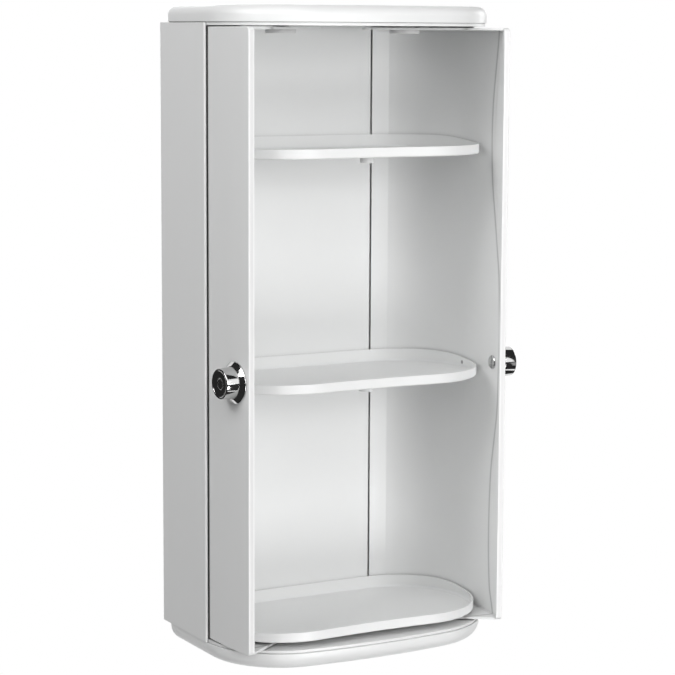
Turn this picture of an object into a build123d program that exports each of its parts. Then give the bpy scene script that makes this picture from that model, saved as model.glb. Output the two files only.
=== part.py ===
from build123d import *
import math
import os

# Wall-hung medicine cabinet with two swing-in doors.
# Millimetres. X runs along the wall, -Y out into the room, +Z up.
# The origin is on the wall face, at the middle of the width and of the doors' height.
# The doors are drawn shut and then swung open about their pivots, which is how they rest.

# Overall sizes
body_width = 306.0
door_height = 600.0
door_swing = 83.0
drum_radius = 79.6
drum_back_clearance = 19.4
bow_radius = 666.0

# Housing
side_wall = 2.2
wall_clearance = 1.2
side_lap = 1.5
side_flange = 12.0
back_wall = 2.5
back_lip = 10.0
screw_block_height = 16.0
spine_wall = 2.2
spine_corner = 1.5
spine_gap = 1.8

# End plates and covers
plate_gap = 1.3
panel_rise = 4.0
end_plate_margin = 0.9
end_plate_back = 5.0
end_plate_corner = 14.0
end_screw_inset = 10.0
top_plate_thickness = 3.3
bottom_plate_thickness = 3.0
top_cover_depth = 16.1
bottom_cover_depth = 17.1
top_cover_rounding = 9.3
bottom_cover_rounding = 14.5
cover_overhang = 1.4
cover_wall = 2.2
cover_seat_clearance = 0.25
seat_rim_wall = 1.6
seat_rim_height = 4.0
parting_groove = 0.4

# Doors
door_wall = 2.3
door_end_wall = 2.3
meeting_gap = 0.5
trailing_angle = 1.5
crease_angle = -12.0
edge_flange_width = 3.0
edge_flange_depth = 4.0
door_corner = 4.0
door_rounding = 1.0
inner_rounding = 1.0
plate_edge_offset = 24.5
plate_edge_run = 42.0
plate_end_angle = -3.5
plate_nose = 6.0
pad_height = 1.0
pad_ramp = 5.0
pad_sink = 1.0
pad_end_gap = 0.4
pad_widths = ((0, 8.5), (27, 16.7), (90, 20.2), (160, 16.2), (205, 7.2), (262, 3.4),
              (320, 3.4), (368, 8.0), (425, 18.3), (478, 24.0), (540, 20.8), (600, 11.5))

# Pivots
pin_diameter = 8.0
pin_clearance = 0.05
collar_diameter = 16.0
collar_lift = 0.5
spigot_boss = 18.0
spigot_boss_height = 5.0
press_clearance = 0.02
disc_diameter = 30.0
disc_thickness = 3.8
disc_bore_depth = 2.5
pin_end_clearance = 0.2
lower_pin_rise = 1.3
pin_lead = 0.6

# Knobs
knob_inset = 24.5
knob_height = 263.5
rosette_diameter = 41.0
rosette_edge = 0.9
rosette_height = 4.6
knob_base_diameter = 31.0
knob_face_diameter = 29.6
knob_projection = 17.6
knob_edge = 0.9
knob_dish_margin = 2.0
knob_dish_depth = 0.5
knob_screw_shank = 5.0
knob_screw_head = 13.8
knob_screw_head_height = 1.5
knob_screw_bite = 8.0
knob_screw_tip_clearance = 1.0
screw_slot = 1.3
screw_slot_depth = 0.7

# Shelves, with their undersides measured up from the doors' lower edge
shelf_clearance = 1.0
shelf_levels = {"bottom_shelf": 5.2, "middle_shelf": 249.6, "top_shelf": 475.2}
shelf_floor = 2.0
shelf_rim = 1.8
shelf_front_height = 9.6
shelf_back_height = 15.1
shelf_step_front = 48.0
shelf_step_back = 122.0
shelf_front_turn = 4.0
shelf_foot_rounding = 2.5
shelf_edge_rounding = 1.6
boss_diameter = 14.0
boss_depth = 6.5
boss_inset = 28.0
boss_rounding = 1.5
tongue_width = 26.0
tongue_thickness = 2.4
tongue_reach = 6.0
tongue_spacing = 84.0
tongue_clearance = 0.15

# Screws and wall holes
screw_shank = 3.5
screw_head = 7.0
screw_sunk = 0.2
screw_hole_clearance = 0.25
screw_recess = 0.9
back_screw_length = 12.0
cover_screw_length = 14.0
cover_screw_head_height = 2.2
screw_boss_diameter = 8.0
side_screw_inset = 6.0
side_screw_heights = (-250.0, -90.0, 90.0, 250.0)
spine_screw_x = 58.0
spine_screw_heights = (-250.0, 0.0, 250.0)
spine_cover_screw_x = 22.0
wall_hole_diameter = 5.5
wall_hole_spacing_x = 230.0
wall_hole_spacing_z = 470.0

# Places worked out from the sizes above
side_outer = body_width / 2
side_inner = side_outer - side_wall
pivot_x = side_inner - wall_clearance - drum_radius
pivot_y = -(drum_radius + drum_back_clearance)
bow_y = pivot_y + math.sqrt((bow_radius - drum_radius) ** 2 - pivot_x ** 2)
meet_angle = math.degrees(math.atan2(pivot_y - bow_y, pivot_x))
side_front = pivot_y - side_lap
door_top = door_height / 2
plate_seat = door_top + plate_gap
panel_end = door_top + panel_rise
wall_inner_radius = drum_radius - door_wall
shelf_radius = wall_inner_radius - shelf_clearance
spine_front = pivot_y + shelf_radius
trailing_open = math.radians(trailing_angle + door_swing)
spine_half_width = pivot_x + wall_inner_radius * math.cos(trailing_open) - spine_gap
side_screw_x = side_inner - side_screw_inset
end_half_width = pivot_x + drum_radius + end_plate_margin
corner_screw_x = end_half_width - end_screw_inset
end_screw_y = -end_plate_back - end_screw_inset
screw_boss_radius = screw_boss_diameter / 2
pin_radius = pin_diameter / 2
bore_radius = pin_radius + pin_clearance
shank_radius = screw_shank / 2
rest_turn = Axis((pivot_x, pivot_y, 0), (0, 0, 1))


# Helpers

def around_pivot(radius, angle):
    """Point at a radius and angle about the right pivot."""
    turn = math.radians(angle)
    return (pivot_x + radius * math.cos(turn), pivot_y + radius * math.sin(turn))


def on_bow(radius, x):
    """Point of the front bow at a given x."""
    return (x, bow_y - math.sqrt(radius ** 2 - x ** 2))


def mirrored(point):
    """The same point on the left side."""
    return (-point[0], point[1])


def prism(profile, low, high):
    """Profile drawn in plan, raised from one height to another."""
    return extrude(Pos(0, 0, low) * profile, amount=high - low, dir=(0, 0, 1))


def rod(radius, low, high, x=0.0, y=0.0):
    """Upright cylinder between two heights."""
    return Pos(x, y, (low + high) / 2) * Cylinder(radius, high - low)


def block(x_range, y_range, z_range):
    """Box between two corners."""
    size = [high - low for low, high in (x_range, y_range, z_range)]
    middle = [(high + low) / 2 for low, high in (x_range, y_range, z_range)]
    return Pos(*middle) * Box(*size)


def both_sides(shape):
    """A right-hand piece with its left-hand copy."""
    return [shape, mirror(shape, about=Plane.YZ)]


def save(shape, node):
    """Write one node as a STEP file."""
    export_step(shape, os.path.join("parts", node + ".step"))


# Screws, drawn head up along Z with the top of the head at zero

def cross_recess():
    """Cross-shaped driver recess."""
    wide = screw_head * 0.6
    bar = Pos(0, 0, -screw_recess / 2) * Box(wide, screw_recess, screw_recess)
    return bar + Rot(0, 0, 90) * bar


def countersunk_screw():
    """Screw driven in from the wall side, flush with the back panel."""
    cone_height = screw_head / 2 - shank_radius
    head = Pos(0, 0, -cone_height / 2) * Cone(shank_radius, screw_head / 2, cone_height)
    return head + rod(shank_radius, -back_screw_length, -cone_height) - cross_recess()


def pan_screw():
    """Screw with a rounded head, under a cover."""
    head = rod(screw_head / 2, -cover_screw_head_height, 0)
    head = chamfer(head.edges().sort_by(Axis.Z)[-1], screw_recess)
    shank = rod(shank_radius, -cover_screw_head_height - cover_screw_length, -cover_screw_head_height)
    return head + shank - cross_recess()


def from_behind(x, z, depth):
    """Plane at the back, sunk by depth, whose Z looks at the wall."""
    return Plane(origin=(x, -depth, z), x_dir=(1, 0, 0), z_dir=(0, 1, 0))


back_screw_places = [(s * side_screw_x, z) for s in (-1, 1) for z in side_screw_heights]
spine_screw_places = [(s * spine_screw_x, z) for s in (-1, 1) for z in spine_screw_heights]
end_screw_places = [(s * x, end_screw_y) for s in (-1, 1) for x in (spine_cover_screw_x, corner_screw_x)]


# Housing

def make_back_panel():
    """Flat back wall with wall-screw holes, countersunk holes and lips that carry the end plates."""
    panel = block((-side_inner, side_inner), (-back_wall, 0), (-panel_end, panel_end))
    lip_ends = (spine_half_width, corner_screw_x - screw_boss_radius)
    for end in (-1, 1):
        low, high = sorted((end * (plate_seat - back_wall), end * plate_seat))
        for lip in both_sides(block(lip_ends, (-back_wall - back_lip, -back_wall), (low, high))):
            panel += lip
    for x, z in back_screw_places + spine_screw_places:
        hole = rod(shank_radius + screw_hole_clearance, -2 * back_wall, 0)
        sink_radius = screw_head / 2 + screw_hole_clearance + screw_sunk
        sink_depth = sink_radius - shank_radius - screw_hole_clearance
        sink = Pos(0, 0, -sink_depth / 2) * Cone(sink_radius - sink_depth, sink_radius, sink_depth)
        panel -= from_behind(x, z, 0) * (hole + sink)
    for x in (-wall_hole_spacing_x / 2, wall_hole_spacing_x / 2):
        for z in (-wall_hole_spacing_z / 2, wall_hole_spacing_z / 2):
            panel -= from_behind(x, z, 0) * rod(wall_hole_diameter / 2, -2 * back_wall, back_wall)
    return panel


def make_side_panel():
    """Right side wall with its rear flange, corner blocks and screw bosses."""
    wall = block((side_inner, side_outer), (side_front, 0), (-panel_end, panel_end))
    flange_front = -back_wall - side_wall
    flange = block((side_inner - side_flange, side_inner), (flange_front, -back_wall),
                   (-plate_seat, plate_seat))
    panel = wall + flange
    for z in side_screw_heights:
        boss_length = back_screw_length - back_wall
        boss = rod(screw_boss_radius, -back_wall - boss_length, -back_wall)
        panel += from_behind(side_screw_x, z, 0) * boss
    for end in (-1, 1):
        low, high = sorted((end * (plate_seat - screw_block_height), end * plate_seat))
        panel += block((corner_screw_x - screw_boss_radius, side_inner),
                       (end_screw_y - screw_boss_radius, flange_front), (low, high))
        panel -= rod(shank_radius + press_clearance, low, high, corner_screw_x, end_screw_y)
    for z in side_screw_heights:
        pilot = rod(shank_radius + press_clearance, -back_wall - back_screw_length, 0)
        panel -= from_behind(side_screw_x, z, 0) * pilot
    front_edges = panel.edges().filter_by(Axis.Z).group_by(Axis.Y)[0]
    return fillet(front_edges, side_wall * 0.25)


def make_spine():
    """Raised channel between the open doors that carries the shelves and the end plates."""
    half = spine_half_width
    outline = make_face(Polyline((-half, -back_wall), (-half, spine_front), (half, spine_front),
                                 (half, -back_wall), close=True))
    outline = fillet(outline.vertices().group_by(Axis.Y)[0], spine_corner)
    spine = prism(outline, -plate_seat, plate_seat)
    spine -= block((-half + spine_wall, half - spine_wall), (spine_front + spine_wall, 0),
                   (-plate_seat + spine_wall, plate_seat - spine_wall))
    for x, z in spine_screw_places:
        boss = rod(screw_boss_radius, spine_front + spine_wall, -back_wall)
        spine += from_behind(x, z, 0) * boss
        pilot = rod(shank_radius + press_clearance, -back_wall - back_screw_length, 0)
        spine -= from_behind(x, z, 0) * pilot
    for end in (-1, 1):
        low, high = sorted((end * (plate_seat - screw_block_height), end * plate_seat))
        for x in (-spine_cover_screw_x, spine_cover_screw_x):
            spine += block((x - screw_boss_radius, x + screw_boss_radius),
                           (spine_front, end_screw_y + screw_boss_radius), (low, high))
            spine -= rod(shank_radius + press_clearance, low, high, x, end_screw_y)
    for level in shelf_levels.values():
        low = level - door_top - tongue_clearance
        high = level - door_top + tongue_thickness + tongue_clearance
        for x in (-tongue_spacing / 2, tongue_spacing / 2):
            half_slot = tongue_width / 2 + tongue_clearance
            spine -= block((x - half_slot, x + half_slot), (spine_front, spine_front + spine_wall),
                           (low, high))
    return spine


def end_outline():
    """Plan of the end plates and covers: the outline of the shut doors, closed along the back."""
    grow = end_plate_margin
    right_meet = around_pivot(drum_radius + grow, meet_angle)
    right_side = around_pivot(drum_radius + grow, 0)
    bow = ThreePointArc(mirrored(right_meet), on_bow(bow_radius + grow, 0), right_meet)
    middle = around_pivot(drum_radius + grow, meet_angle / 2)
    drum = ThreePointArc(right_meet, middle, right_side)
    left_drum = ThreePointArc(mirrored(right_meet), mirrored(middle), mirrored(right_side))
    back = Polyline(right_side, (right_side[0], -end_plate_back), (-right_side[0], -end_plate_back),
                    mirrored(right_side))
    outline = make_face([bow, drum, left_drum] + back.edges())
    return fillet(outline.vertices().group_by(Axis.Y)[-1], end_plate_corner)


def make_end_plate(thickness):
    """Upper end plate, with its pivot bosses and the rim that the cover snaps over."""
    top = plate_seat + thickness
    plate = prism(end_outline(), plate_seat, top)
    plate = chamfer(plate.faces().sort_by(Axis.Z)[-1].edges(), parting_groove)
    rim_offset = cover_wall + cover_seat_clearance - cover_overhang
    rim = offset(end_outline(), amount=-rim_offset) - offset(end_outline(), amount=-rim_offset - seat_rim_wall)
    plate += prism(rim, top, top + seat_rim_height)
    for x in (-pivot_x, pivot_x):
        plate += rod(spigot_boss / 2, top, top + spigot_boss_height, x, pivot_y)
        plate -= rod(pin_radius + press_clearance, plate_seat, top + spigot_boss_height, x, pivot_y)
    for x, y in end_screw_places:
        plate -= rod(shank_radius + screw_hole_clearance, plate_seat, top, x, y)
    return plate


def make_cover(thickness, depth, rounding):
    """Upper cover: a rounded hollow cap that overhangs the end plate a little."""
    low = plate_seat + thickness
    high = low + depth
    cover = prism(offset(end_outline(), amount=cover_overhang), low, high)
    cover = fillet(cover.faces().sort_by(Axis.Z)[-1].edges(), rounding)
    cover = chamfer(cover.faces().sort_by(Axis.Z)[0].edges(), parting_groove)
    hollow = prism(offset(end_outline(), amount=cover_overhang - cover_wall), low, high - cover_wall)
    hollow = fillet(hollow.faces().sort_by(Axis.Z)[-1].edges(), rounding - cover_wall)
    return cover - hollow


def make_end_screws(thickness):
    """Screws of the upper end plate."""
    top = plate_seat + thickness + cover_screw_head_height
    return [Pos(x, y, top) * pan_screw() for x, y in end_screw_places]


# Shelves

def shelf_outline():
    """Plan of a shelf: round ends about the pivots, a slightly hollow front and a straight back."""
    turn = -90 - shelf_front_turn
    front_end = around_pivot(shelf_radius, turn)
    hollow = front_end[0] * math.tan(math.radians(shelf_front_turn) / 2)
    front = ThreePointArc(mirrored(front_end), (0, front_end[1] + hollow), front_end)
    back_end = around_pivot(shelf_radius, 90)
    middle = around_pivot(shelf_radius, 0)
    right = ThreePointArc(front_end, middle, back_end)
    left = ThreePointArc(mirrored(front_end), mirrored(middle), mirrored(back_end))
    return make_face([front, right, left, Line(back_end, mirrored(back_end))])


def rim_relief():
    """Space over the low front lip, which rises to the back rim along each end."""
    front = pivot_y - shelf_radius
    start = front + shelf_step_front
    end = front + shelf_step_back
    low = shelf_front_height
    high = shelf_back_height
    step = Spline((start, low), (end, high), tangents=((1, 0), (1, 0)))
    over = 2 * high
    frame = Polyline((end, high), (end, over), (front - low, over), (front - low, low), (start, low))
    side = make_face([step] + frame.edges())
    reach = 2 * side_outer
    return extrude(Plane(origin=(-side_outer, 0, 0), x_dir=(0, 1, 0), z_dir=(1, 0, 0)) * side, amount=reach)


def make_shelf(node, level):
    """Tray shelf with its rim, boss and the tongues that plug into the spine."""
    outline = shelf_outline()
    tray = prism(outline, 0, shelf_back_height)
    tray = fillet(tray.faces().sort_by(Axis.Z)[0].edges(), shelf_edge_rounding)
    well = prism(offset(outline, amount=-shelf_rim), shelf_floor, 2 * shelf_back_height)
    well = fillet(well.faces().sort_by(Axis.Z)[0].edges(), shelf_foot_rounding)
    tray = tray - well - rim_relief()
    if node != "bottom_shelf":
        boss_y = pivot_y - shelf_radius + boss_inset
        boss = rod(boss_diameter / 2, -boss_depth, shelf_floor / 2, 0, boss_y)
        tray += fillet(boss.edges().sort_by(Axis.Z)[0], boss_rounding)
    for x in (-tongue_spacing / 2, tongue_spacing / 2):
        tray += block((x - tongue_width / 2, x + tongue_width / 2),
                      (spine_front - shelf_edge_rounding, spine_front + tongue_reach), (0, tongue_thickness))
    return Pos(0, 0, level - door_top) * tray


# Doors

def front_line(depth, start_x, end_angle):
    """Front of the shut right door, a given depth under its skin: the bow, then the drum."""
    meet = around_pivot(drum_radius - depth, meet_angle)
    start = on_bow(bow_radius - depth, start_x)
    bow = ThreePointArc(start, on_bow(bow_radius - depth, (start_x + meet[0]) / 2), meet)
    middle = around_pivot(drum_radius - depth, (meet_angle + end_angle) / 2)
    drum = ThreePointArc(meet, middle, around_pivot(drum_radius - depth, end_angle))
    return bow, drum


def door_wall_outline():
    """Plan of the right door's wall, with the flange along its free edge."""
    bow, drum = front_line(0, meeting_gap, trailing_angle)
    flange_x = meeting_gap + edge_flange_width
    inner_bow, inner_drum = front_line(door_wall, flange_x, crease_angle)
    inner_trailing = around_pivot(wall_inner_radius, trailing_angle)
    flange_y = on_bow(bow_radius - door_wall, meeting_gap)[1] + edge_flange_depth
    tail = Polyline(drum @ 1, inner_trailing, inner_drum @ 1)
    flange = Polyline(inner_bow @ 0, (flange_x, flange_y), (meeting_gap, flange_y), bow @ 0)
    edges = [bow, drum, inner_bow, inner_drum] + tail.edges() + flange.edges()
    return make_face(edges)


def plate_outline():
    """Plan of the right door's end plates, from the wall to the straight open front edge."""
    overlap = door_wall * 0.65
    bow, drum = front_line(overlap, meeting_gap, plate_end_angle)
    corner = on_bow(bow_radius, meeting_gap)
    to_pivot = (pivot_x - corner[0], pivot_y - corner[1])
    reach = math.hypot(*to_pivot)
    slope = math.atan2(to_pivot[1], to_pivot[0]) + math.asin(plate_edge_offset / reach)
    run = math.sqrt(reach ** 2 - plate_edge_offset ** 2) + plate_edge_run
    nose = (corner[0] + run * math.cos(slope), corner[1] + run * math.sin(slope))
    edge = Polyline(drum @ 1, nose, bow @ 0)
    outline = make_face([bow, drum] + edge.edges())
    nearest = outline.vertices().sort_by_distance((nose[0], nose[1], 0))[0]
    return fillet(nearest, plate_nose)


def corner_trim(end):
    """Cutter that rounds a corner of the free edge, at the upper or lower end."""
    x = meeting_gap
    z = end * door_top
    r = door_corner
    turn = math.radians(45)
    middle = (x + r - r * math.cos(turn), z - end * (r - r * math.sin(turn)))
    arc = ThreePointArc((x, z - end * r), middle, (x + r, z))
    edge = Polyline((x + r, z), (x + r, z + end * r), (x - r, z + end * r), (x - r, z - end * r),
                    (x, z - end * r))
    spandrel = make_face([arc] + edge.edges())
    return extrude(Plane.XZ * spandrel, amount=bow_radius, both=True)


def make_pad():
    """Raised pad inside the free edge, whose wavy ramp leaves two finger lobes."""
    reach = max(width for height, width in pad_widths) + pad_ramp
    x = meeting_gap + reach / 2
    seat = on_bow(bow_radius - door_wall, x)
    inward = (-seat[0], bow_y - seat[1], 0)
    plane = Plane(origin=(seat[0], seat[1], 0), x_dir=(-inward[1], inward[0], 0), z_dir=inward)
    rise = pad_sink + pad_height
    run = pad_ramp * rise / pad_height
    foot = pad_ramp / 2 + pad_ramp * pad_sink / pad_height
    scale = door_height / pad_widths[-1][0]
    points = [(reach / 2 - width - foot, height * scale - door_top) for height, width in pad_widths]
    wave = Spline(*points)
    frame = Polyline(points[-1], (reach, door_top), (reach, -door_top), points[0])
    outline = make_face([wave] + frame.edges())
    lean = plane.z_dir * rise + plane.x_dir * run
    pad = extrude(plane.offset(-pad_sink) * outline, amount=lean.length, dir=lean)
    end = door_top - door_end_wall - inner_rounding - pad_end_gap
    return pad & block((meeting_gap, 2 * reach), (-bow_radius, 0), (-end, end))


def knob_plane():
    """Plane on the right door's front, at the knob, whose Z points out of the door."""
    x = meeting_gap + knob_inset
    point = on_bow(bow_radius, x)
    outward = (point[0], point[1] - bow_y, 0)
    return Plane(origin=(point[0], point[1], knob_height - door_top), x_dir=(0, 0, 1), z_dir=outward)


def make_door():
    """Shut right door: drum-shaped wall, end plates, edge flange and pad in one moulding."""
    door = prism(door_wall_outline(), -door_top, door_top)
    for low, high in ((-door_top, door_end_wall - door_top), (door_top - door_end_wall, door_top)):
        door += prism(plate_outline(), low, high)
    door = fillet(inner_foot_edges(door), inner_rounding)
    for end in (-1, 1):
        door -= corner_trim(end)
    door = fillet(outer_rim_edges(door), door_rounding)
    door += make_pad()
    door -= rod(bore_radius, -door_top, door_top, pivot_x, pivot_y)
    door -= knob_plane() * rod(knob_screw_shank / 2 + pin_clearance, -2 * door_wall, door_wall)
    return door


def outer_rim_edges(door):
    """Edges round the outside of the door's front, apart from the trailing edge."""
    found = []
    for edge in door.edges():
        point = edge @ 0.5
        from_bow = math.hypot(point.X, point.Y - bow_y)
        from_pivot = math.hypot(point.X - pivot_x, point.Y - pivot_y)
        angle = math.degrees(math.atan2(point.Y - pivot_y, point.X - pivot_x))
        upright = abs(edge.bounding_box().size.Z - edge.length) < 0.001
        on_front = abs(from_bow - bow_radius) < 0.01 and angle < meet_angle - 0.1
        on_drum = abs(from_pivot - drum_radius) < 0.01 and angle > meet_angle
        if on_front or (on_drum and not upright):
            found.append(edge)
    return found


def inner_foot_edges(door):
    """Edges where the inside of the door's wall meets its end plates."""
    found = []
    for edge in door.edges():
        point = edge @ 0.5
        from_bow = math.hypot(point.X, point.Y - bow_y)
        from_pivot = math.hypot(point.X - pivot_x, point.Y - pivot_y)
        angle = math.degrees(math.atan2(point.Y - pivot_y, point.X - pivot_x))
        on_plate = abs(abs(point.Z) - door_top + door_end_wall) < 0.01
        on_front = abs(from_bow - bow_radius + door_wall) < 0.01 and angle < meet_angle
        on_drum = angle > meet_angle and from_pivot > wall_inner_radius - door_wall / 3
        if on_plate and (on_front or on_drum):
            found.append(edge)
    return found


# Door fittings

def make_pivot_disc():
    """Round hub under the upper end plate, with a blind bearing bore."""
    top = door_top - door_end_wall
    disc = rod(disc_diameter / 2, top - disc_thickness, top, pivot_x, pivot_y)
    disc = chamfer(disc.edges().sort_by(Axis.Z)[0], pin_lead)
    return disc - rod(bore_radius, top - disc_bore_depth, top, pivot_x, pivot_y)


def make_pivot(thickness, lift, tip):
    """Pin drawn for the upper end: spigot in the end plate, collar, and pin down to the tip."""
    collar_low = door_top + lift
    spigot = rod(pin_radius, plate_seat, plate_seat + thickness + spigot_boss_height)
    collar = rod(collar_diameter / 2, collar_low, plate_seat)
    pin = rod(pin_radius, tip, collar_low)
    pin = chamfer(pin.edges().sort_by(Axis.Z)[0], pin_lead)
    return Pos(pivot_x, pivot_y, 0) * (spigot + collar + pin)


def make_rosette():
    """Conical plate between the knob and the door."""
    outer = rosette_diameter / 2
    inner = knob_base_diameter / 2
    bore = knob_screw_shank / 2 + pin_clearance
    section = Polyline((bore, 0), (outer, 0), (outer, rosette_edge), (inner, rosette_height),
                       (bore, rosette_height), close=True)
    return knob_plane() * revolve(make_face(Plane.XZ * section), axis=Axis.Z)


def make_knob():
    """Round pull with a dished face."""
    base = knob_base_diameter / 2
    face = knob_face_diameter / 2
    dish = face - knob_dish_margin
    section = Polyline((0, rosette_height), (base, rosette_height), (face, knob_projection),
                       (dish, knob_projection), (dish - knob_dish_depth, knob_projection - knob_dish_depth),
                       (0, knob_projection - knob_dish_depth), close=True)
    knob = revolve(make_face(Plane.XZ * section), axis=Axis.Z)
    rim = knob.edges().filter_by(GeomType.CIRCLE).sort_by(lambda edge: edge.radius + edge.center().Z)[-1]
    knob = chamfer(rim, knob_edge)
    depth = knob_screw_bite + knob_screw_tip_clearance
    bore = rod(knob_screw_shank / 2 + press_clearance, rosette_height, rosette_height + depth)
    return knob_plane() * (knob - bore)


def make_knob_screw():
    """Slotted screw from inside the door into the knob."""
    radius = knob_screw_head / 2
    seat = -door_wall - radius ** 2 / (2 * (bow_radius - door_wall))
    low = seat - knob_screw_head_height
    head = rod(radius, low, seat)
    head = chamfer(head.edges().sort_by(Axis.Z)[0], screw_slot_depth)
    shank = rod(knob_screw_shank / 2, seat, rosette_height + knob_screw_bite)
    slot = Pos(0, 0, low + screw_slot_depth / 2) * Box(knob_screw_head, screw_slot, screw_slot_depth)
    return knob_plane() * (head + shank - slot)


# Build and write every node

os.makedirs("parts", exist_ok=True)

save(make_back_panel(), "back_panel")
right_side, left_side = both_sides(make_side_panel())
save(right_side, "right_side_panel")
save(left_side, "left_side_panel")
save(make_spine(), "centre_spine")
save(Compound([from_behind(x, z, screw_sunk) * countersunk_screw() for x, z in back_screw_places]),
     "side_panel_screws")
save(Compound([from_behind(x, z, screw_sunk) * countersunk_screw() for x, z in spine_screw_places]),
     "spine_screws")

save(make_end_plate(top_plate_thickness), "top_end_plate")
save(mirror(make_end_plate(bottom_plate_thickness), about=Plane.XY), "bottom_end_plate")
save(make_cover(top_plate_thickness, top_cover_depth, top_cover_rounding), "top_cover")
lower_cover = make_cover(bottom_plate_thickness, bottom_cover_depth, bottom_cover_rounding)
save(mirror(lower_cover, about=Plane.XY), "bottom_cover")
upper_screws = make_end_screws(top_plate_thickness)
lower_screws = [mirror(screw, about=Plane.XY) for screw in make_end_screws(bottom_plate_thickness)]
save(Compound(upper_screws + lower_screws), "end_plate_screws")

for shelf_node, shelf_level in shelf_levels.items():
    save(make_shelf(shelf_node, shelf_level), shelf_node)

upper_tip = door_top - door_end_wall - disc_bore_depth + pin_end_clearance
lower_tip = door_top - door_end_wall - lower_pin_rise
upper_pivot = make_pivot(top_plate_thickness, collar_lift, upper_tip)
lower_pivot = mirror(make_pivot(bottom_plate_thickness, 0, lower_tip), about=Plane.XY)

fixed_fittings = {"upper_pivot": upper_pivot, "lower_pivot": lower_pivot}
swinging_pieces = {
    "door": make_door(),
    "pivot_disc": make_pivot_disc(),
    "knob_rosette": make_rosette(),
    "knob": make_knob(),
    "knob_screw": make_knob_screw(),
}
for fitting, shape in fixed_fittings.items():
    for hand, piece in zip(("right", "left"), both_sides(shape)):
        save(piece, hand + "_" + fitting)
for fitting, shape in swinging_pieces.items():
    opened = shape.rotate(rest_turn, door_swing)
    for hand, piece in zip(("right", "left"), both_sides(opened)):
        save(piece, hand + "_" + fitting)
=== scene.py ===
import logging
import math
from dataclasses import dataclass
from enum import Enum
from typing import Callable, Iterable, Sequence, Union

import bmesh
import bpy
from mathutils import Matrix, Vector


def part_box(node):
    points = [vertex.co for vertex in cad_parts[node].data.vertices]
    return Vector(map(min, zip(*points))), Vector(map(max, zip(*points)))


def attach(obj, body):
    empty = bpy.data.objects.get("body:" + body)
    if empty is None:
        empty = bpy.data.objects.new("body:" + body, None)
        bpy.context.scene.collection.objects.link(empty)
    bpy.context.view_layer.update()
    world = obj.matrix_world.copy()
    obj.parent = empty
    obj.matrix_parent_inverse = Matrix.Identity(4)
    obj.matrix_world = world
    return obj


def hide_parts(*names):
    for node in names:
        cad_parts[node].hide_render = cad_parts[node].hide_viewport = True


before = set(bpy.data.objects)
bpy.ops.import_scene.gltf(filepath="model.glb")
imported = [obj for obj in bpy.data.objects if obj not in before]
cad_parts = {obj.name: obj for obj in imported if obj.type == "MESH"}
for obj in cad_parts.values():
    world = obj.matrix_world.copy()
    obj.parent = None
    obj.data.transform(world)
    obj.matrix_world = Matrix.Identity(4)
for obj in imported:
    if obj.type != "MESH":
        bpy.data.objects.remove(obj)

LOG = logging.getLogger("cabinet")
MM = 0.001
SHELL_TINT = (0.994, 1.0, 0.998)


# Shader graphs

class Value:
    """A shader number that can stand in a Python expression."""

    def __init__(self, graph: "Graph", socket: bpy.types.NodeSocket) -> None:
        """Wrap one output socket of a graph.

        Args:
            graph: the graph that the socket belongs to.
            socket: the output socket to wrap.
        """
        self.graph = graph
        self.socket = socket

    def _maths(self, operation: str, first: "Number", second: "Number") -> "Value":
        """Add one Math node.

        Args:
            operation: the node's operation.
            first: its first number.
            second: its second number.

        Returns:
            The node's result.
        """
        return self.graph.node("ShaderNodeMath", {"operation": operation}, {0: first, 1: second})

    def __add__(self, other: "Number") -> "Value":
        """Sum."""
        return self._maths("ADD", self, other)

    def __radd__(self, other: "Number") -> "Value":
        """Sum, from the right."""
        return self._maths("ADD", other, self)

    def __sub__(self, other: "Number") -> "Value":
        """Difference."""
        return self._maths("SUBTRACT", self, other)

    def __rsub__(self, other: "Number") -> "Value":
        """Difference, from the right."""
        return self._maths("SUBTRACT", other, self)

    def __mul__(self, other: "Number") -> "Value":
        """Product."""
        return self._maths("MULTIPLY", self, other)

    def __rmul__(self, other: "Number") -> "Value":
        """Product, from the right."""
        return self._maths("MULTIPLY", other, self)

    def __truediv__(self, other: "Number") -> "Value":
        """Quotient."""
        return self._maths("DIVIDE", self, other)

    def __rtruediv__(self, other: "Number") -> "Value":
        """Quotient, from the right."""
        return self._maths("DIVIDE", other, self)

    def __gt__(self, other: "Number") -> "Value":
        """One where this is the larger, else zero."""
        return self._maths("GREATER_THAN", self, other)

    def __lt__(self, other: "Number") -> "Value":
        """One where this is the smaller, else zero."""
        return self._maths("LESS_THAN", self, other)

    def __pow__(self, other: "Number") -> "Value":
        """Power."""
        return self._maths("POWER", self, other)

    def __rpow__(self, other: "Number") -> "Value":
        """Power, from the right."""
        return self._maths("POWER", other, self)

    def size(self) -> "Value":
        """The number without its sign."""
        return self._maths("ABSOLUTE", self, 0.0)

    def clamped(self) -> "Value":
        """The number held between zero and one."""
        low = self._maths("MAXIMUM", self, 0.0)
        return low._maths("MINIMUM", low, 1.0)


Number = Union[Value, float]
Colour = tuple[float, float, float, float]


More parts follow.
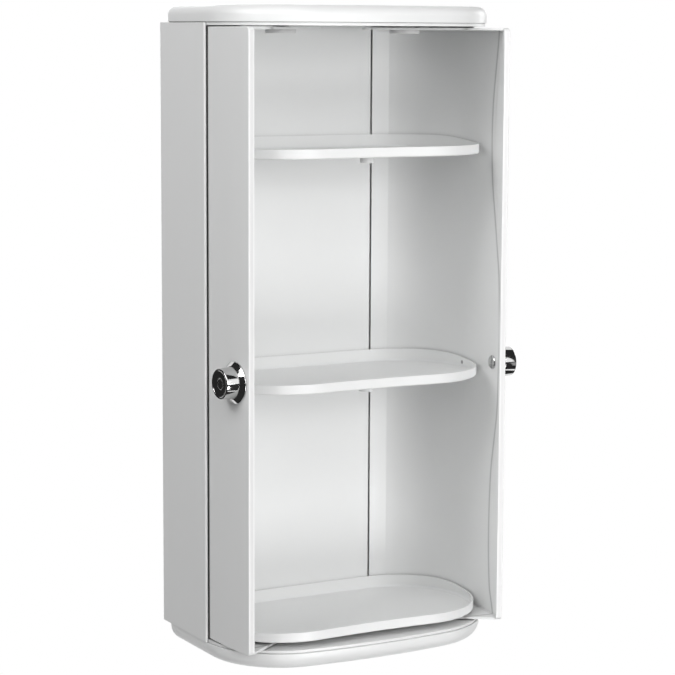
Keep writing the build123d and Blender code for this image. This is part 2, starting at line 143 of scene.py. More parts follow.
class Graph:
    """The node graph of one material."""

    def __init__(self, name: str) -> None:
        """Start an empty material.

        Args:
            name: the material's name.
        """
        self.material = bpy.data.materials.new(name)
        self.material.use_nodes = True
        self.tree = self.material.node_tree
        self.tree.nodes.clear()

    @classmethod
    def on(cls, tree: bpy.types.NodeTree) -> "Graph":
        """Start an empty graph on a tree that is there already.

        Args:
            tree: the node tree to empty and use.

        Returns:
            The graph.
        """
        graph = cls.__new__(cls)
        graph.tree = tree
        tree.nodes.clear()
        return graph

    def node(self, kind: str, settings: dict | None = None, inputs: dict | None = None,
             output: int | str = 0) -> Value:
        """Add any node.

        Args:
            kind: the node's type.
            settings: its attributes; "stops" and "easing" give a colour ramp's stops and interpolation.
            inputs: values or links for its sockets, by index or name.
            output: which output to return.

        Returns:
            The chosen output.
        """
        made = self.tree.nodes.new(kind)
        for key, value in (settings or {}).items():
            if key == "stops":
                self._set_stops(made, value)
            elif key == "easing":
                made.color_ramp.interpolation = value
            else:
                setattr(made, key, value)
        for key, value in (inputs or {}).items():
            if isinstance(value, Value):
                self.tree.links.new(value.socket, made.inputs[key])
            else:
                made.inputs[key].default_value = value
        return Value(self, made.outputs[output])

    @staticmethod
    def _set_stops(ramp: bpy.types.Node, stops: Sequence[tuple[float, Colour]]) -> None:
        """Set a colour ramp's stops.

        Args:
            ramp: the ramp node.
            stops: place and colour of each stop, in order.
        """
        elements = ramp.color_ramp.elements
        while len(elements) < len(stops):
            elements.new(1.0)
        for element, (place, colour) in zip(elements, stops):
            element.position = place
            element.color = colour

    def position(self) -> Value:
        """Object coordinates, which are the row's metres."""
        return self.node("ShaderNodeTexCoord", output="Object")

    def axis(self, vector: Value, name: str) -> Value:
        """One coordinate of a vector, by the axis's letter."""
        return self.node("ShaderNodeSeparateXYZ", None, {0: vector}, name)

    def seen(self) -> Value:
        """One for rays from the camera, mirrored or let through, else zero."""
        straight, mirrored, through = (
            self.node("ShaderNodeLightPath", output=f"Is {kind} Ray")
            for kind in ("Camera", "Glossy", "Transmission"))
        return (straight + mirrored + through).clamped()

    def near(self, vector: Value, point: Sequence[float], radius: float) -> Value:
        """Soft spot round a point.

        Args:
            vector: where the surface is.
            point: the spot's middle, in metres.
            radius: where the spot ends, in metres.

        Returns:
            One at the middle, falling to zero at the radius.
        """
        away = self.node("ShaderNodeVectorMath", {"operation": "DISTANCE"}, {0: vector, 1: tuple(point)}, 1)
        return (1.0 - away / radius).clamped()

    def noise(self, vector: Value, scale: float, detail: float = 2.0, roughness: float = 0.5) -> Value:
        """Noise between zero and one.

        Args:
            vector: where to sample it.
            scale: cells per metre.
            detail: octaves.
            roughness: weight of the fine octaves.

        Returns:
            The noise value.
        """
        return self.node("ShaderNodeTexNoise", None,
                         {"Vector": vector, "Scale": scale, "Detail": detail, "Roughness": roughness})

    def mix(self, factor: Number, first: Colour | Value, second: Colour | Value) -> Value:
        """Blend two colours.

        Args:
            factor: share of the second colour.
            first: colour at zero.
            second: colour at one.

        Returns:
            The blended colour.
        """
        return self.node("ShaderNodeMix", {"data_type": "RGBA"}, {0: factor, 6: first, 7: second}, 2)

    def bump(self, height: Value, strength: float, distance: float) -> Value:
        """Normal of a bumpy surface.

        Args:
            height: the height field.
            strength: share of the bump.
            distance: its depth in metres.

        Returns:
            The bumped normal.
        """
        return self.node("ShaderNodeBump", None,
                         {"Strength": strength, "Distance": distance, "Height": height})

    def principled(self, inputs: dict) -> bpy.types.Material:
        """Close the graph with a Principled shader.

        Args:
            inputs: values or links for the shader's sockets.

        Returns:
            The finished material.
        """
        shader = self.node("ShaderNodeBsdfPrincipled", None, inputs)
        return self.surface(shader)

    def surface(self, shader: Value) -> bpy.types.Material:
        """Link a shader to the material's surface.

        Args:
            shader: the shader output.

        Returns:
            The finished material.
        """
        out = self.tree.nodes.new("ShaderNodeOutputMaterial")
        self.tree.links.new(shader.socket, out.inputs["Surface"])
        return self.material


def grey(level: float) -> Colour:
    """A neutral colour of one linear level."""
    return (level, level, level, 1.0)


# Where the doors are

@dataclass(frozen=True)
class DoorPlan:
    """Plan of a door as the solids have it, in millimetres, for the right hand and shut."""

    pivot_x: float = 70.0
    pivot_y: float = -99.0
    drum_radius: float = 79.6
    bow_radius: float = 666.0
    swing: float = 83.0
    meeting_gap: float = 0.5
    wall: float = 2.3
    flange_depth: float = 4.0
    height: float = 600.0
    knob_x: float = 25.0
    knob_z: float = -36.5
    pad_ramp: float = 5.0
    pad_reach: float = 34.0
    # pad_edge places the painted shadow line along the pad, about 7.5 mm further from the free edge than
    # the solids' ramp.
    pad_edge: tuple[tuple[float, float], ...] = (
        (0, 16.0), (27, 24.2), (90, 27.7), (160, 23.7), (205, 14.7), (262, 10.9),
        (320, 10.9), (368, 15.5), (425, 25.8), (478, 31.5), (540, 28.3), (600, 19.0))

    def bow_y(self) -> float:
        """Middle of the front's arc."""
        return self.pivot_y + math.sqrt((self.bow_radius - self.drum_radius) ** 2 - self.pivot_x ** 2)

    def front_y(self, x: float) -> float:
        """Front skin of the shut door at a given x."""
        return self.bow_y() - math.sqrt(self.bow_radius ** 2 - x ** 2)

    def knob_frame(self, side: int) -> Matrix:
        """Frame on the open door's skin at the knob, with Z out of the door.

        Args:
            side: 1 for the right door, -1 for the left.

        Returns:
            The frame, in metres.
        """
        pivot = Vector((self.pivot_x, self.pivot_y, 0.0))
        turn = Matrix.Rotation(math.radians(self.swing), 3, "Z")
        point = Vector((self.knob_x, self.front_y(self.knob_x), self.knob_z))
        out = Vector((self.knob_x, point.y - self.bow_y(), 0.0)).normalized()
        point = turn @ (point - pivot) + pivot
        out = turn @ out
        point.x *= side
        out.x *= side
        up = Vector((0.0, 0.0, 1.0))
        frame_turn = Matrix((up, out.cross(up), out)).transposed().to_4x4()
        return Matrix.Translation(point * MM) @ frame_turn


# Finishes

@dataclass(frozen=True)
class MouldedPlastic:
    """Soft-gloss injection-moulded plastic with faint flow and orange peel, and painted shade: ambient
    occlusion darkens its colour in creases and gaps.
    """

    name: str
    level: float = 0.8
    tint: tuple[float, float, float] = (1.0, 1.0, 1.0)
    roughness: float = 0.33
    roughness_spread: float = 0.05
    specular: float = 0.5
    flow_scale: float = 9.0
    flow_shade: float = 0.985
    peel: float = 0.00002
    peel_scale: float = 620.0
    peel_detail: float = 1.0
    peel_strength: float = 0.25
    painted_shade_reach: float = 0.004
    painted_shade_samples: int = 6
    painted_shade_falloff: float = 1.5
    painted_shade_strength: float = 0.8
    painted_shade_level: float = 0.3

    def material(self) -> bpy.types.Material:
        """Make the material.

        Returns:
            The finished material.
        """
        graph = Graph(self.name)
        place = graph.position()
        flow = graph.noise(place, self.flow_scale)
        peel = graph.noise(place, self.peel_scale, self.peel_detail)
        body = graph.mix(flow, self.shade(self.flow_shade), self.shade(1.0))
        marks_and_painted_light = self.marks_and_painted_light(graph, place, body)
        # Painted shade: ambient occlusion darkens the base colour in creases, recesses and gaps between
        # parts.
        open_share = graph.node("ShaderNodeAmbientOcclusion", {"samples": self.painted_shade_samples},
                                {"Distance": self.painted_shade_reach}, "AO")
        painted_shade = (1.0 - open_share) ** self.painted_shade_falloff
        return graph.principled({
            "Base Color": graph.mix(painted_shade * self.painted_shade_strength, marks_and_painted_light,
                                    self.shade(self.painted_shade_level)),
            "Roughness": self.roughness + flow * self.roughness_spread,
            "Specular IOR Level": self.specular,
            "Normal": graph.bump(peel, self.peel_strength, self.peel),
        })

    def shade(self, share: float) -> Colour:
        """The plastic's colour at a share of its brightness."""
        return tuple(self.level * share * part for part in self.tint) + (1.0,)

    def marks_and_painted_light(self, graph: Graph, place: Value, body: Value) -> Value:
        """The colour with the piece's own marks and painted light, of which plain plastic has none."""
        return body


@dataclass(frozen=True)
class GatedPlastic(MouldedPlastic):
    """Moulded plastic with the small dark dot where its mould was filled."""

    gate: tuple[float, float, float] = (0.1445, -0.0964, -0.0440)
    gate_radius: float = 0.0024
    gate_sharpness: float = 2.5
    gate_strength: float = 0.85
    gate_shade: float = 0.18

    def marks_and_painted_light(self, graph: Graph, place: Value, body: Value) -> Value:
        """Add the dot.

        Args:
            graph: the material's graph.
            place: object coordinates.
            body: the plastic's colour.

        Returns:
            The colour with the dot.
        """
        dot = (graph.near(place, self.gate, self.gate_radius) * self.gate_sharpness).clamped()
        return graph.mix(dot * self.gate_strength, body, self.shade(self.gate_shade))


@dataclass(frozen=True)
class EdgeHighlitPlastic(MouldedPlastic):
    """Moulded plastic whose narrow front edge is painted paler, a painted highlight where the edge catches
    the light.
    """

    edge_front: float = -0.0985
    edge_inner: float = 0.1508
    painted_edge_highlight: float = 0.97

    def marks_and_painted_light(self, graph: Graph, place: Value, body: Value) -> Value:
        """Add the painted highlight on the edge.

        Args:
            graph: the material's graph.
            place: object coordinates.
            body: the plastic's colour.

        Returns:
            The colour with the painted edge highlight.
        """
        # Painted highlight: the front edge faces of the side panels are painted near white.
        at_front = graph.axis(place, "Y") < self.edge_front
        at_side = graph.axis(place, "X").size() > self.edge_inner
        return graph.mix(at_front * at_side, body, grey(self.painted_edge_highlight))


@dataclass(frozen=True)
class DoorPlastic(MouldedPlastic):
    """Moulded plastic of a door, with a painted shadow line along its pad's step and an end edge painted
    paler as a highlight, with painted shade down its middle.
    """

    side: int = 1
    plan: DoorPlan = DoorPlan()
    painted_pad_shadow: float = 0.45
    painted_edge_shade: float = 0.11
    painted_edge_highlight: float = 0.86
    edge_depth: float = 0.0002
    edge_sharpness: float = 2.0

    def marks_and_painted_light(self, graph: Graph, place: Value, body: Value) -> Value:
        """Add the painted shadow line along the pad's step and the painted highlight and shade of the end
        edge, which are laid out on the shut door.

        Args:
            graph: the material's graph.
            place: object coordinates of the open door.
            body: the plastic's colour.

        Returns:
            The shaded colour.
        """
        plan = self.plan
        shut = graph.node("ShaderNodeVectorRotate", {"rotation_type": "Z_AXIS"}, {
            "Vector": place, "Center": (self.side * plan.pivot_x * MM, plan.pivot_y * MM, 0.0),
            "Angle": -self.side * math.radians(plan.swing)})
        across = graph.axis(shut, "X") * float(self.side) - plan.meeting_gap * MM
        depth = graph.axis(shut, "Y")
        height = graph.axis(shut, "Z") / (plan.height * MM) + 0.5
        stops = [(z / plan.height, grey(width / plan.pad_reach)) for z, width in plan.pad_edge]
        edge = graph.node("ShaderNodeValToRGB", {"stops": stops, "easing": "CARDINAL"}, {0: height})
        # Painted shadow: a dark line along the pad's step, where the step's shadow falls.
        ramp = 1.0 - (across - edge * (plan.pad_reach * MM)).size() / (plan.pad_ramp * 0.5 * MM)
        inside = depth > (plan.front_y(plan.meeting_gap) + plan.wall * 0.5) * MM
        edge_middle = plan.front_y(plan.meeting_gap) + (plan.wall + plan.flange_depth) / 2
        middle = 1.0 - (depth - edge_middle * MM).size() / (plan.wall * MM)
        # Painted highlight on the door's end edge, with painted shade down its middle.
        on_edge = across < self.edge_depth
        shading = (ramp.clamped() * inside * self.painted_pad_shadow
                   + (middle * self.edge_sharpness).clamped() * on_edge * self.painted_edge_shade)
        edge_highlit = graph.mix(on_edge, body, grey(self.painted_edge_highlight))
        return graph.mix(shading, edge_highlit, grey(0.0))


@dataclass(frozen=True)
class Plating:
    """Polished or satin plated metal with faint buffing marks."""

    name: str
    level: float
    roughness: float
    buffing: float = 0.04
    buffing_scale: float = 900.0
    buffing_detail: float = 3.0
    buffing_roughness: float = 0.7
    buffing_relief: float = 0.05
    cloud_scale: float = 60.0
    cloud_shade: float = 0.94
    wave_scale: float = 120.0
    wave_detail: float = 1.5
    wave_strength: float = 0.6
    wave_depth: float = 0.00002

    def material(self) -> bpy.types.Material:
        """Make the material.

        Returns:
            The finished material.
        """
        graph = Graph(self.name)
        place = graph.position()
        marks = graph.noise(place, self.buffing_scale, self.buffing_detail, self.buffing_roughness)
        cloud = graph.noise(place, self.cloud_scale)
        waves = graph.noise(place, self.wave_scale, self.wave_detail)
        relief = waves + marks * self.buffing_relief
        return graph.principled({
            "Base Color": graph.mix(cloud, grey(self.level * self.cloud_shade), grey(self.level)),
            "Metallic": 1.0,
            "Roughness": self.roughness + marks * self.buffing,
            "Normal": graph.bump(relief, self.wave_strength, self.wave_depth),
        })


@dataclass(frozen=True)
class SeamShadeBlack:
    """Matt near-black of the strips beside the doors, painted shade standing in for the dark seam gaps."""

    name: str = "seam_shade_black"
    level: float = 0.03
    roughness: float = 0.75
    roughness_spread: float = 0.1
    grain_scale: float = 1400.0
    grain_detail: float = 3.0
    grain_roughness: float = 0.6
    grain_shade: float = 0.7
    grain_strength: float = 0.4
    grain_depth: float = 0.00005

    def material(self) -> bpy.types.Material:
        """Make the material.

        Returns:
            The finished material.
        """
        graph = Graph(self.name)
        grain = graph.noise(graph.position(), self.grain_scale, self.grain_detail, self.grain_roughness)
        return graph.principled({
            "Base Color": graph.mix(grain, grey(self.level * self.grain_shade), grey(self.level)),
            "Roughness": self.roughness + grain * self.roughness_spread,
            "Normal": graph.bump(grain, self.grain_strength, self.grain_depth),
        })


class Finish(Enum):
    """The cabinet's finishes, by the part that wears them."""

    SHELL = MouldedPlastic("white_shell", tint=SHELL_TINT)
    GATED_SHELL = GatedPlastic("gated_shell", tint=SHELL_TINT)
    SIDE_SHELL = EdgeHighlitPlastic("side_shell", tint=SHELL_TINT)
    LEFT_DOOR = DoorPlastic("left_door_shell", tint=SHELL_TINT, side=-1)
    RIGHT_DOOR = DoorPlastic("right_door_shell", tint=SHELL_TINT, side=1)
    HUB = MouldedPlastic("hub_plastic", level=0.71, roughness=0.42)
    PIVOT = MouldedPlastic("pivot_nylon", level=0.74, tint=(1.0, 0.995, 0.97), roughness=0.5)
    CHROME = Plating("chrome", level=0.66, roughness=0.05)
    KNOB_FACE = Plating("knob_face", level=0.6, roughness=0.07, wave_scale=230.0, wave_depth=0.0004)
    # Near-black strips in the seam gaps: painted shade.
    SEAM_SHADE = SeamShadeBlack()
    BRIGHT_SCREW = Plating("bright_screw", level=0.62, roughness=0.24)
    ZINC_SCREW = Plating("zinc_screw", level=0.58, roughness=0.35)


class Finishes:
    """Makes each finish once and lends it to the pieces."""

    def __init__(self) -> None:
        """Make every material."""
        self._made = {finish: finish.value.material() for finish in Finish}

    def dress(self, node: str, finish: Finish) -> None:
        """Give a CAD node one of the finishes.

        Args:
            node: the node's name.
            finish: what it is made of.
        """
        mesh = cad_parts[node].data
        mesh.materials.clear()
        mesh.materials.append(self._made[finish])

    def face_off(self, piece: bpy.types.Object, finish: Finish, chosen: Callable[[Vector], bool]) -> None:
        """Give some faces of an added piece a second finish.

        Args:
            piece: the new object.
            finish: what those faces are made of.
            chosen: says whether a face with a given middle is one of them.
        """
        piece.data.materials.append(self._made[finish])
        for face in piece.data.polygons:
            if chosen(face.center):
                face.material_index = len(piece.data.materials) - 1

    def put_on(self, piece: bpy.types.Object, finish: Finish) -> None:
        """Give an added piece one of the finishes.

        Args:
            piece: the new object.
            finish: what it is made of.
        """
        piece.data.materials.clear()
        piece.data.materials.append(self._made[finish])


# Meshes

def eased(corners: Sequence[tuple[float, float, float]], steps: int = 4) -> list[tuple[float, float]]:
    """Round the corners of an open outline.

    Args:
        corners: radius from the axis, height, and rounding of each corner, in millimetres.
        steps: divisions of each rounding.

    Returns:
        The outline's points.
    """
    points = []
    for index, (radius, height, rounding) in enumerate(corners):
        here = Vector((radius, height))
        if rounding == 0 or index in (0, len(corners) - 1):
            points.append(tuple(here))
            continue
        before = (Vector(corners[index - 1][:2]) - here).normalized() * rounding
        after = (Vector(corners[index + 1][:2]) - here).normalized() * rounding
        for step in range(steps + 1):
            t = step / steps
            points.append(tuple(here + before * (1 - t) ** 2 + after * t ** 2))
    return points


def linked(name: str, data: bpy.types.ID) -> bpy.types.Object:
    """Make an object and put it in the scene.

    Args:
        name: the object's name.
        data: its mesh, lamp or camera.

    Returns:
        The new object.
    """
    piece = bpy.data.objects.new(name, data)
    bpy.context.scene.collection.objects.link(piece)
    return piece


def finished(name: str, build: bmesh.types.BMesh) -> bpy.types.Object:
    """Close a mesh that was built by hand, with its faces turned outwards.

    Args:
        name: the new object's name.
        build: the mesh so far, which is freed.

    Returns:
        The new object.
    """
    bmesh.ops.recalc_face_normals(build, faces=build.faces)
    mesh = bpy.data.meshes.new(name)
    build.to_mesh(mesh)
    build.free()
    return linked(name, mesh)


def sheet_piece(name: str, points: Sequence[Sequence[float]], columns: int) -> bpy.types.Object:
    """Make an open sheet of a grid of points.

    Args:
        name: the sheet's name.
        points: the grid's points, row by row.
        columns: faces in one row.

    Returns:
        The new object.
    """
    row = columns + 1
    faces = [(n, n + 1, n + 1 + row, n + row)
             for n in range(len(points) - row) if n % row < columns]
    mesh = bpy.data.meshes.new(name)
    mesh.from_pydata(points, [], faces)
    return linked(name, mesh)


def turned_piece(name: str, outline: Sequence[tuple[float, float]], place: Matrix,
                 sides: int = 96) -> bpy.types.Object:
    """Turn an outline round its axis, as on a lathe.

    Args:
        name: the piece's name.
        outline: radius and height of each point in millimetres, from the axis back to the axis.
        place: the frame it stands in, with the axis along Z.
        sides: divisions round the axis.

    Returns:
        The new object, shaded smooth.
    """
    build = bmesh.new()
    rings = []
    for radius, height in outline:
        if radius == 0:
            rings.append([build.verts.new((0.0, 0.0, height * MM))])
            continue
        turns = [2 * math.pi * n / sides for n in range(sides)]
        rings.append([build.verts.new((radius * MM * math.cos(t), radius * MM * math.sin(t), height * MM))
                      for t in turns])
    for lower, upper in zip(rings, rings[1:]):
        for n in range(sides):
            m = (n + 1) % sides
            if len(lower) == 1:
                build.faces.new((lower[0], upper[n], upper[m]))
            elif len(upper) == 1:
                build.faces.new((lower[n], upper[0], lower[m]))
            else:
                build.faces.new((lower[n], upper[n], upper[m], lower[m]))
    for face in build.faces:
        face.smooth = True
    build.transform(place)
    return finished(name, build)


def strip_piece(name: str, section: Sequence[tuple[float, float]], low: float,
                high: float) -> bpy.types.Object:
    """Raise a closed section drawn in plan into an upright strip.

    Args:
        name: the piece's name.
        section: the section's points, in millimetres.
        low: the strip's lower end, in millimetres.
        high: its upper end.

    Returns:
        The new object.
    """
    build = bmesh.new()
    ends = [[build.verts.new((x * MM, y * MM, z * MM)) for x, y in section] for z in (low, high)]
    for end in ends:
        build.faces.new(end)
    for n in range(len(section)):
        m = (n + 1) % len(section)
        build.faces.new((ends[0][n], ends[0][m], ends[1][m], ends[1][n]))
    return finished(name, build)


# Sub-assemblies

@dataclass
class Housing:
    """The fixed part: back, sides, spine, end plates, covers, shelves, and the dark strips beside the doors
    that paint the seam gaps' shade.
    """

    strip_wall: float = 150.8
    strip_thickness: float = 0.8
    strip_front: float = -101.8
    strip_back: float = -97.0
    strip_end: float = 300.5
    strip_steps: int = 6
    white: tuple[str, ...] = ("back_panel", "centre_spine", "top_end_plate", "bottom_end_plate",
                              "top_cover", "bottom_cover", "top_shelf", "bottom_shelf")
    # Side panels whose front edge carries a painted highlight.
    edge_highlit: tuple[str, ...] = ("left_side_panel", "right_side_panel")
    gated: tuple[str, ...] = ("middle_shelf",)
    screws: tuple[str, ...] = ("side_panel_screws", "spine_screws", "end_plate_screws")
    pivots: tuple[str, ...] = ("left_upper_pivot", "left_lower_pivot", "right_upper_pivot",
                               "right_lower_pivot")

    def dress(self, finishes: Finishes) -> None:
        """Give each node its finish.

        Args:
            finishes: the made materials.
        """
        for node in self.white:
            finishes.dress(node, Finish.SHELL)
        for node in self.edge_highlit:
            finishes.dress(node, Finish.SIDE_SHELL)
        for node in self.gated:
            finishes.dress(node, Finish.GATED_SHELL)
        for node in self.screws:
            finishes.dress(node, Finish.ZINC_SCREW)
        for node in self.pivots:
            finishes.dress(node, Finish.PIVOT)
        nodes = self.white + self.edge_highlit + self.gated + self.screws + self.pivots
        LOG.info("housing dressed: %d nodes", len(nodes))

    def add_seam_shade_strips(self, finishes: Finishes) -> None:
        """Stand a thin dark strip inside the front edge of each side wall, as painted shade in the seam gap
        beside the door.

        Args:
            finishes: the made materials.
        """
        inner = self.strip_wall - self.strip_thickness
        nose = self.strip_thickness / 2
        front = self.strip_front + nose
        section = [(self.strip_wall, self.strip_back), (inner, self.strip_back), (inner, front)]
        for step in range(1, self.strip_steps):
            turn = math.pi * step / self.strip_steps
            section.append((inner + nose - nose * math.cos(turn), front - nose * math.sin(turn)))
        section.append((self.strip_wall, front))
        for hand, side in (("left", -1), ("right", 1)):
            shade_strip = strip_piece(f"{hand}_seam_shade_strip", [(side * x, y) for x, y in section],
                               -self.strip_end, self.strip_end)
            finishes.put_on(shade_strip, Finish.SEAM_SHADE)
            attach(shade_strip, "cabinet")
            LOG.info("%s seam seal added", hand)


@dataclass
class Door:
    """One swinging door."""

    hand: str
    side: int

    def dress(self, finishes: Finishes) -> None:
        """Give each node its finish.

        Args:
            finishes: the made materials.
        """
        finishes.dress(f"{self.hand}_door", Finish.LEFT_DOOR if self.side < 0 else Finish.RIGHT_DOOR)
        finishes.dress(f"{self.hand}_pivot_disc", Finish.HUB)
        finishes.dress(f"{self.hand}_knob_screw", Finish.BRIGHT_SCREW)
        LOG.info("%s door dressed", self.hand)


@dataclass
class Knob:
    """Turned chrome pull on its conical rosette, in millimetres from the door's skin."""

    hand: str
    side: int
    plan: DoorPlan = DoorPlan()
    rosette_radius: float = 20.5
    rosette_edge: float = 0.9
    rosette_rounding: float = 0.5
    rosette_height: float = 4.6
    foot_rounding: float = 0.15
    seat_margin: float = 0.3
    seat_step: float = 0.1
    seat_inset: float = 0.4
    base_radius: float = 15.5
    base_rounding: float = 0.4
    shoulder_inset: float = 0.15
    shoulder_height: float = 2.0
    shoulder_rounding: float = 0.6
    face_radius: float = 14.8
    projection: float = 17.6
    rim_rounding: float = 1.1
    dish_radius: float = 12.9
    dish_depth: float = 0.5
    dish_rounding: float = 0.35
    dish_level_share: float = 0.9
    dish_reach_share: float = 0.5
    ring_radius: float = 5.2
    ring_width: float = 1.1
    ring_depth: float = 0.35
    ring_rounding: float = 0.25
    ring_foot_rounding: float = 0.2
    ring_level_share: float = 1.5

    def build(self, finishes: Finishes) -> None:
        """Turn the rosette and the knob in place of the plain solids.

        Args:
            finishes: the made materials.
        """
        place = self.plan.knob_frame(self.side)
        rosette = turned_piece(f"{self.hand}_rosette_turned", self._rosette_outline(), place)
        finishes.put_on(rosette, Finish.CHROME)
        knob = turned_piece(f"{self.hand}_knob_turned", self._knob_outline(), place)
        finishes.put_on(knob, Finish.CHROME)
        finishes.face_off(knob, Finish.KNOB_FACE, self._on_face(place))
        for piece, node in ((rosette, "knob_rosette"), (knob, "knob")):
            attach(piece, f"{self.hand}_door_body")
            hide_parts(f"{self.hand}_{node}")
        LOG.info("%s knob turned", self.hand)

    def _rosette_outline(self) -> list[tuple[float, float]]:
        """Cone with a small rounded rim."""
        return eased([
            (0.0, 0.0, 0.0), (self.rosette_radius, 0.0, self.foot_rounding),
            (self.rosette_radius, self.rosette_edge, self.rosette_rounding),
            (self.base_radius + self.seat_margin, self.rosette_height - self.seat_step, self.seat_margin),
            (self.base_radius - self.seat_inset, self.rosette_height, 0.0),
            (0.0, self.rosette_height, 0.0)])

    def _knob_outline(self) -> list[tuple[float, float]]:
        """Slightly tapered body with a rounded rim, a dished face and a ring cut in it."""
        floor = self.projection - self.dish_depth
        ring = self.ring_radius
        shoulder = self.rosette_height + self.shoulder_height
        return eased([
            (0.0, self.rosette_height, 0.0), (self.base_radius, self.rosette_height, self.base_rounding),
            (self.base_radius - self.shoulder_inset, shoulder, self.shoulder_rounding),
            (self.face_radius, self.projection, self.rim_rounding),
            (self.dish_radius, self.projection, self.dish_rounding),
            (self.dish_radius - self.dish_depth, floor, self.dish_rounding),
            (ring + self.ring_width / 2, floor, self.ring_rounding),
            (ring, floor - self.ring_depth, self.ring_foot_rounding),
            (ring - self.ring_width / 2, floor, self.ring_rounding), (0.0, floor, 0.0)])

    def _on_face(self, place: Matrix) -> Callable[[Vector], bool]:
        """Test for points of the dished face.

        Args:
            place: the knob's frame.

        Returns:
            A function that says whether a point is on the dished face.
        """
        back = place.inverted()
        level = (self.projection - self.dish_depth * self.dish_level_share) * MM
        level -= self.ring_depth * MM * self.ring_level_share
        reach = (self.dish_radius - self.dish_depth * self.dish_reach_share) * MM

        def on_face(point: Vector) -> bool:
            """Whether the point is inside the dish."""
            local = back @ point
            return local.z > level and local.xy.length < reach
        return on_face


# Studio

@dataclass(frozen=True)
class SoftBox:
    """A square soft lamp that looks at the cabinet."""

    name: str
    place: tuple[float, float, float]
    watts: float
    size: float = 1.1
    target: tuple[float, float, float] = (0.0, -0.1, 0.0)
    mirrored: bool = True

    def build(self) -> None:
        """Add the lamp to the scene."""
        data = bpy.data.lights.new(self.name, "AREA")
        data.shape = "SQUARE"
        data.size = self.size
        data.energy = self.watts
        lamp = linked(self.name, data)
        lamp.location = self.place
        look = Vector(self.target) - Vector(self.place)
        lamp.rotation_mode = "QUATERNION"
        lamp.rotation_quaternion = look.to_track_quat("-Z", "Y")
        lamp.visible_glossy = self.mirrored


def reflection_only(piece: bpy.types.Object) -> None:
    """Show a stage piece to reflections alone, so that it lights and shades nothing.

    Args:
        piece: the stage piece.
    """
    piece.visible_camera = False
    piece.visible_diffuse = False
    piece.visible_shadow = False
    piece.visible_transmission = False


@dataclass(frozen=True)
class Card:
    """Pale card on the right, in front, that the chrome of a knob mirrors as a band."""

    name: str
    distance: float
    turns: tuple[float, float]
    rises: tuple[float, float]
    strength: float = 1.3
    centre: tuple[float, float, float] = (0.17, -0.19, -0.036)
    lean: float = 0.0
    steps: int = 8
    paper_scale: float = 4.0
    paper_shade: float = 0.9

    def build(self) -> None:
        """Bend the card round the knob, its lower edge turned on by its lean."""
        points = []
        for row in range(self.steps + 1):
            for column in range(self.steps + 1):
                rise = math.radians(self.rises[0] + (self.rises[1] - self.rises[0]) * row / self.steps)
                turn = math.radians(self.turns[0] + (self.turns[1] - self.turns[0]) * column / self.steps
                                    + self.lean * (1 - row / self.steps))
                ahead = Vector((math.sin(turn) * math.cos(rise), -math.cos(turn) * math.cos(rise),
                                math.sin(rise)))
                points.append(Vector(self.centre) + ahead * self.distance)
        card = sheet_piece(self.name, points, self.steps)
        graph = Graph(self.name)
        fibres = graph.noise(graph.position(), self.paper_scale)
        shine = {"Color": graph.mix(fibres, grey(self.paper_shade), grey(1.0)), "Strength": self.strength}
        card.data.materials.append(graph.surface(graph.node("ShaderNodeEmission", None, shine)))
        reflection_only(card)


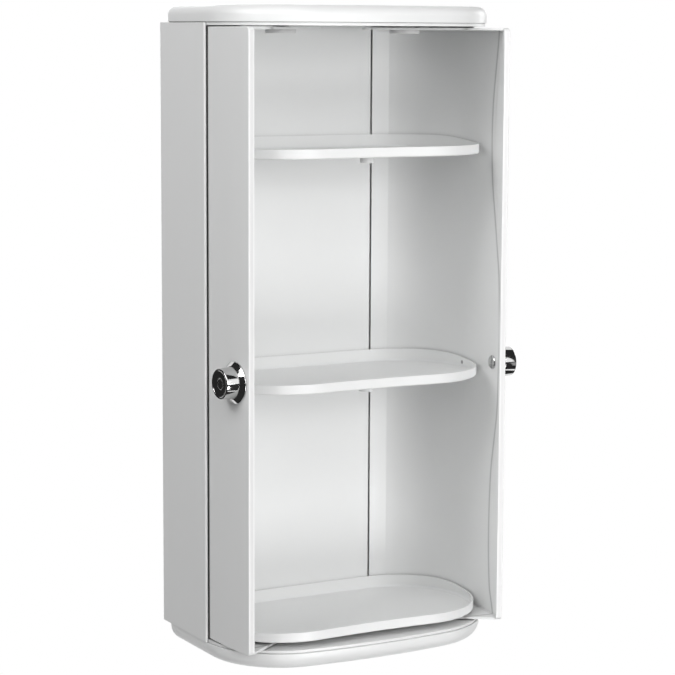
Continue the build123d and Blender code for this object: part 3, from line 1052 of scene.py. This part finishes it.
@dataclass
class Studio:
    """White floor and surround, lit by soft boxes from above and all round, most from the front left."""

    floor_drop: float = 1.8
    floor_half: float = 30.0
    floor_level: float = 0.8
    world_level: float = 0.04
    white_strength: float = 1.0
    drape_radius: float = 6.0
    drape_gap: float = 0.7
    drape_floor: float = -2.0
    drape_turns: tuple[float, float] = (-155.0, 110.0)
    drape_columns: int = 48
    drape_rings: int = 16
    drape_eye: float = 0.01
    drape_level: float = 0.04
    drape_fold_scale: float = 1.5
    drape_fold_detail: float = 3.0
    drape_fold_shade: float = 0.5
    lamps: tuple[SoftBox, ...] = (
        SoftBox("front", (0.765, -2.954, 0.521), 30.5),
        SoftBox("front_low", (0.472, -2.778, -1.268), 28.9),
        SoftBox("front_high", (-0.672, -2.61, 1.5), 26.5, 1.8),
        SoftBox("overhead", (-0.66, -1.912, 2.298), 9.0, 1.6),
        SoftBox("left", (-2.51, -0.772, 1.5), 24.0),
        SoftBox("left_low", (-2.3, -0.8, -1.0), 5.5, mirrored=False),
        SoftBox("behind", (0.9, 2.8, 0.7), 24.0, 1.4),
        SoftBox("right", (2.7, 0.6, 0.8), 16.0, 1.2),
        SoftBox("left_near", (-1.323, -0.333, 1.344), 9.0, 0.8),
    )
    cards: tuple[Card, ...] = (
        Card("card_high", 2.5, (16.0, 36.0), (1.0, 36.0)),
        Card("card_low", 2.0, (15.0, 75.0), (-52.0, -46.0)),
        Card("card_side", 5.0, (34.5, 60.0), (-46.0, -4.0), 0.42, (-0.17, -0.19, -0.036), 15.0),
    )

    def build(self) -> None:
        """Make the floor, the world and the lamps."""
        self._floor()
        self._world()
        self._drape()
        for card in self.cards:
            card.build()
        for lamp in self.lamps:
            lamp.build()
        LOG.info("studio built with %d lamps and %d cards", len(self.lamps), len(self.cards))

    def _floor(self) -> None:
        """Lay a plain pale floor that the camera sees as white."""
        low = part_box("bottom_cover")[0]
        z = low.z - self.floor_drop
        half = self.floor_half
        floor = sheet_piece("floor", [(x, y, z) for y in (-half, half) for x in (-half, half)], 1)
        graph = Graph("floor_white")
        pale = graph.node("ShaderNodeBsdfDiffuse", None, {"Color": grey(self.floor_level)})
        white = graph.node("ShaderNodeEmission", None,
                           {"Color": grey(1.0), "Strength": self.white_strength})
        both = graph.node("ShaderNodeMixShader", None, {0: graph.seen(), 1: pale, 2: white})
        floor.data.materials.append(graph.surface(both))

    def _world(self) -> None:
        """Surround that lights softly and shows as white."""
        world = bpy.data.worlds.new("surround")
        bpy.context.scene.world = world
        world.use_nodes = True
        graph = Graph.on(world.node_tree)
        soft, white = (
            graph.node("ShaderNodeBackground", None, {"Color": grey(1.0), "Strength": strength})
            for strength in (self.world_level, self.white_strength))
        both = graph.node("ShaderNodeMixShader", None, {0: graph.seen(), 1: soft, 2: white})
        out = graph.tree.nodes.new("ShaderNodeOutputWorld")
        graph.tree.links.new(both.socket, out.inputs["Surface"])

    def _drape(self) -> None:
        """Close the camera's side of the room with a dark shell that only reflections see."""
        first, last = (math.radians(turn) for turn in self.drape_turns)
        rings = [(self.drape_gap, self.drape_floor)]
        for step in range(self.drape_rings + 1):
            rise = math.pi / 2 * step / self.drape_rings
            rings.append((self.drape_radius * math.cos(rise) + self.drape_eye,
                          self.drape_floor + self.drape_radius * math.sin(rise)))
        points = []
        for radius, z in rings:
            for step in range(self.drape_columns + 1):
                turn = first + (last - first) * step / self.drape_columns
                points.append((radius * math.sin(turn), -radius * math.cos(turn), z))
        drape = sheet_piece("drape", points, self.drape_columns)
        graph = Graph("drape_black")
        folds = graph.noise(graph.position(), self.drape_fold_scale, self.drape_fold_detail)
        dim = grey(self.drape_level * self.drape_fold_shade)
        shine = {"Color": graph.mix(folds, dim, grey(self.drape_level))}
        drape.data.materials.append(graph.surface(graph.node("ShaderNodeEmission", None, shine)))
        reflection_only(drape)


@dataclass
class PhotoCamera:
    """Camera at the photograph's viewing angle."""

    image_px: float = 675.0
    focal_px: float = 2223.0
    sensor_mm: float = 36.0
    yaw: float = math.radians(29.04)
    pitch: float = math.radians(7.79)
    roll: float = math.radians(0.26)
    place: tuple[float, float, float] = (-1.079, -2.033, 0.294)
    nearest: float = 0.05
    farthest: float = 100.0

    def build(self) -> None:
        """Make the camera and make it the scene's."""
        data = bpy.data.cameras.new("photo_camera")
        data.sensor_fit = "HORIZONTAL"
        data.sensor_width = self.sensor_mm
        data.lens = self.focal_px / self.image_px * self.sensor_mm
        data.clip_start = self.nearest
        data.clip_end = self.farthest
        ahead = Vector((math.sin(self.yaw) * math.cos(self.pitch),
                        math.cos(self.yaw) * math.cos(self.pitch), -math.sin(self.pitch)))
        level = Vector((math.cos(self.yaw), -math.sin(self.yaw), 0.0))
        upright = level.cross(ahead)
        right = level * math.cos(self.roll) + upright * math.sin(self.roll)
        up = upright * math.cos(self.roll) - level * math.sin(self.roll)
        turn = Matrix((right, up, -ahead)).transposed().to_4x4()
        camera = linked("photo_camera", data)
        camera.matrix_world = Matrix.Translation(self.place) @ turn
        bpy.context.scene.camera = camera
        LOG.info("camera placed")


def main() -> None:
    """Build the looks in order."""
    logging.basicConfig(level=logging.INFO, format="%(name)s: %(message)s")
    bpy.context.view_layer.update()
    finishes = Finishes()
    housing = Housing()
    housing.dress(finishes)
    housing.add_seam_shade_strips(finishes)
    for hand, side in (("left", -1), ("right", 1)):
        Door(hand, side).dress(finishes)
        Knob(hand, side).build(finishes)
    Studio().build()
    PhotoCamera().build()
    bpy.context.scene.view_settings.view_transform = "Standard"


if __name__ == "__main__":
    main()
